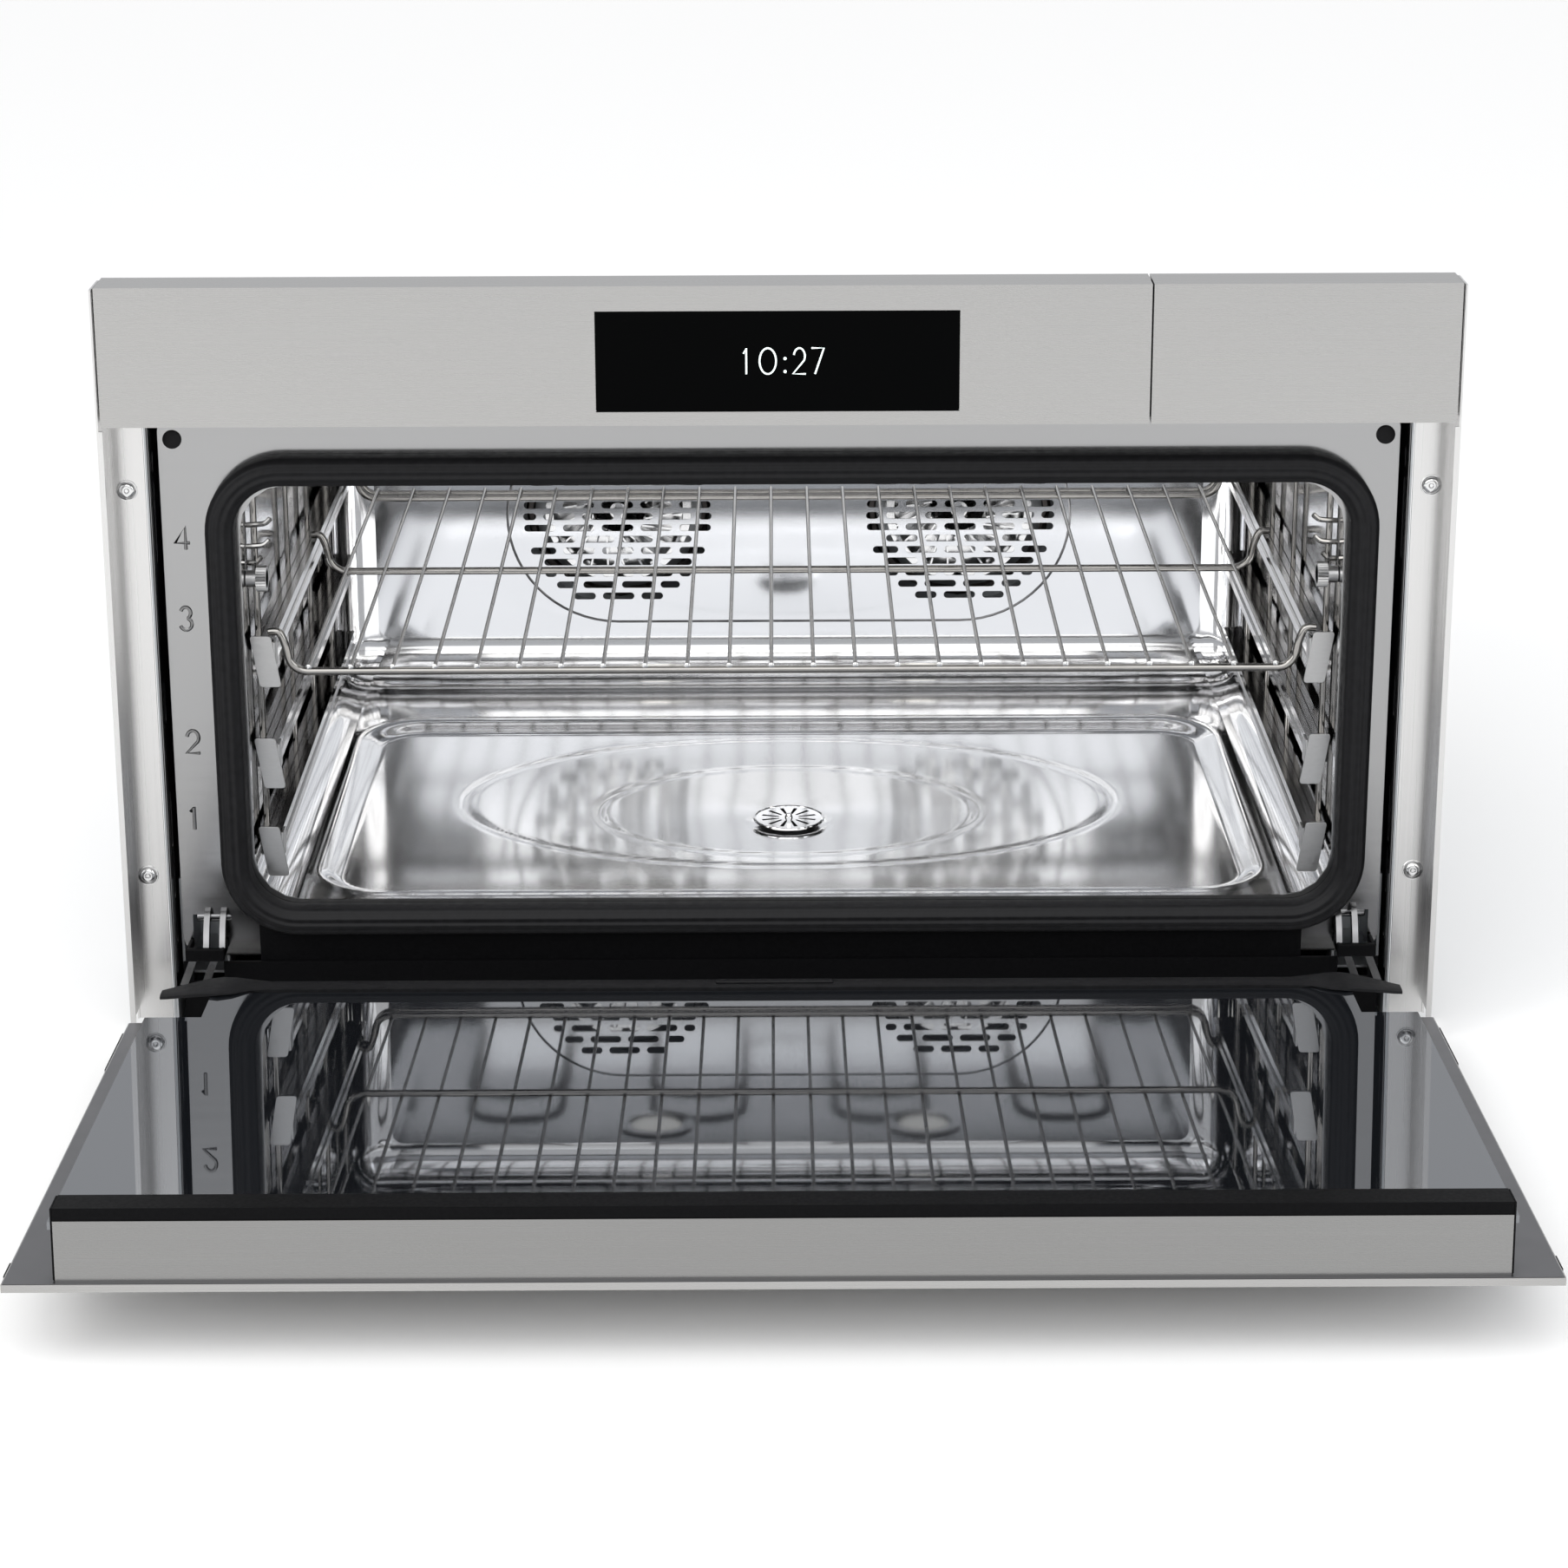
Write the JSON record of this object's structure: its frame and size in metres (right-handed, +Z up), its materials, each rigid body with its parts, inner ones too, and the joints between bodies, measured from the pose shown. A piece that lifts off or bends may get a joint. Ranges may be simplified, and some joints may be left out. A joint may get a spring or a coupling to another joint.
{
  "type": "wall oven",
  "caption": "Built-in steam and convection oven with drop-down glass door, telescopic rails, wire rack and a water tank drawer beside the display.",
  "frame": {"origin": "middle of the front edge of the casing's underside, in the plane of the cabinet's face", "axes": "+X to the user's right, +Y from the front into the cabinet, +Z up"},
  "size_m": [0.7654, 0.9564, 0.454],
  "materials": {
    "galvanised": "zinc coated sheet, dull",
    "satin_stainless": "satin stainless steel",
    "brushed_stainless": "horizontally brushed stainless steel",
    "polished_stainless": "polished stainless steel",
    "black_rubber": "black silicone rubber",
    "black_plastic": "black heat resistant plastic",
    "dark_glass": "dark reflective glass",
    "clear_glass": "clear glass",
    "tank_plastic": "translucent plastic",
    "heater_sheath": "dark heater sheath",
    "circuit_board": "green laminate"
  },
  "bodies": {
    "oven": {"base_pan": "galvanised", "blower_housing": "galvanised", "bumper_left": "black_rubber", "bumper_right": "black_rubber", "cavity_liner": "polished_stainless", "control_board": "circuit_board", "control_fascia": "brushed_stainless", "display_glass": "dark_glass", "door_gasket": "black_rubber", "drain_strainer": "polished_stainless", "equipment_shelf": "galvanised", "fan_chamber": "galvanised", "fan_cover": "polished_stainless", "fan_motor_left": "black_plastic", "fan_motor_right": "black_plastic", "flange_left": "brushed_stainless", "flange_right": "brushed_stainless", "front_plate": "satin_stainless", "grill_element": "heater_sheath", "hinge_arm_left": "polished_stainless", "hinge_arm_right": "polished_stainless", "hinge_box_left": "galvanised", "hinge_box_right": "galvanised", "lamp_left": "clear_glass", "lamp_right": "clear_glass", "lower_front_panel": "satin_stainless", "mains_gland": "black_plastic", "outer_wrap": "galvanised", "rear_cover": "galvanised", "ring_element_left": "heater_sheath", "ring_element_right": "heater_sheath", "side_rack_left": "polished_stainless", "side_rack_right": "polished_stainless", "steam_generator": "satin_stainless", "tank_bay": "black_plastic"},
    "door": {"door_bar": "brushed_stainless", "door_bar_cap": "black_plastic", "door_frame": "black_plastic", "door_inner_glass": "dark_glass", "door_middle_glass": "clear_glass", "door_seal_strip": "black_rubber", "door_skin": "brushed_stainless"},
    "fan_left": {"fan_wheel_left": "galvanised"},
    "fan_right": {"fan_wheel_right": "galvanised"},
    "blower": {"blower_wheel": "black_plastic"},
    "tank_drawer": {"tank_front": "brushed_stainless", "water_tank": "tank_plastic"},
    "rack": {"wire_rack": "polished_stainless", "runner_left_3": "polished_stainless", "runner_right_3": "polished_stainless"},
    "rack_middles": {"rail_middle_left_3": "polished_stainless", "rail_middle_right_3": "polished_stainless"},
    "rail_left_1": {"runner_left_1": "polished_stainless"},
    "middle_left_1": {"rail_middle_left_1": "polished_stainless"},
    "rail_left_2": {"runner_left_2": "polished_stainless"},
    "middle_left_2": {"rail_middle_left_2": "polished_stainless"},
    "rail_right_1": {"runner_right_1": "polished_stainless"},
    "middle_right_1": {"rail_middle_right_1": "polished_stainless"},
    "rail_right_2": {"runner_right_2": "polished_stainless"},
    "middle_right_2": {"rail_middle_right_2": "polished_stainless"}
  },
  "joints": [
    {"name": "door_hinge", "type": "hinge", "parent": "oven", "child": "door", "pos_m": [0, -0.05161, -0.00072], "axis": [1, 0, 0], "range_deg": [-86.8, 0]},
    {"name": "tank_slide", "type": "slide", "parent": "oven", "child": "tank_drawer", "axis": [0, -1, 0], "range_m": [0, 0.15]},
    {"name": "rack_slide", "type": "slide", "parent": "oven", "child": "rack", "axis": [0, -1, 0], "range_m": [0, 0.4]},
    {"name": "rack_middle_slide", "type": "slide", "parent": "oven", "child": "rack_middles", "axis": [0, -1, 0], "range_m": [0, 0.2]},
    {"name": "runner_slide_left_1", "type": "slide", "parent": "oven", "child": "rail_left_1", "axis": [0, -1, 0], "range_m": [0, 0.455]},
    {"name": "middle_slide_left_1", "type": "slide", "parent": "oven", "child": "middle_left_1", "axis": [0, -1, 0], "range_m": [0, 0.2275]},
    {"name": "runner_slide_left_2", "type": "slide", "parent": "oven", "child": "rail_left_2", "axis": [0, -1, 0], "range_m": [0, 0.455]},
    {"name": "middle_slide_left_2", "type": "slide", "parent": "oven", "child": "middle_left_2", "axis": [0, -1, 0], "range_m": [0, 0.2275]},
    {"name": "runner_slide_right_1", "type": "slide", "parent": "oven", "child": "rail_right_1", "axis": [0, -1, 0], "range_m": [0, 0.455]},
    {"name": "middle_slide_right_1", "type": "slide", "parent": "oven", "child": "middle_right_1", "axis": [0, -1, 0], "range_m": [0, 0.2275]},
    {"name": "runner_slide_right_2", "type": "slide", "parent": "oven", "child": "rail_right_2", "axis": [0, -1, 0], "range_m": [0, 0.455]},
    {"name": "middle_slide_right_2", "type": "slide", "parent": "oven", "child": "middle_right_2", "axis": [0, -1, 0], "range_m": [0, 0.2275]},
    {"name": "fan_spin_left", "type": "hinge", "parent": "oven", "child": "fan_left", "pos_m": [-0.1128, 0.4767, 0.187], "axis": [0, 1, 0], "continuous": true},
    {"name": "fan_spin_right", "type": "hinge", "parent": "oven", "child": "fan_right", "pos_m": [0.1276, 0.4767, 0.187], "axis": [0, 1, 0], "continuous": true},
    {"name": "blower_spin", "type": "hinge", "parent": "oven", "child": "blower", "pos_m": [-0.16, 0.11, 0.3728], "axis": [0, 0, 1], "continuous": true}
  ],
  "couplings": [
    {"joint": "rack_middle_slide", "follows": "rack_slide", "ratio": 0.5},
    {"joint": "middle_slide_left_1", "follows": "runner_slide_left_1", "ratio": 0.5},
    {"joint": "middle_slide_left_2", "follows": "runner_slide_left_2", "ratio": 0.5},
    {"joint": "middle_slide_right_1", "follows": "runner_slide_right_1", "ratio": 0.5},
    {"joint": "middle_slide_right_2", "follows": "runner_slide_right_2", "ratio": 0.5}
  ]
}
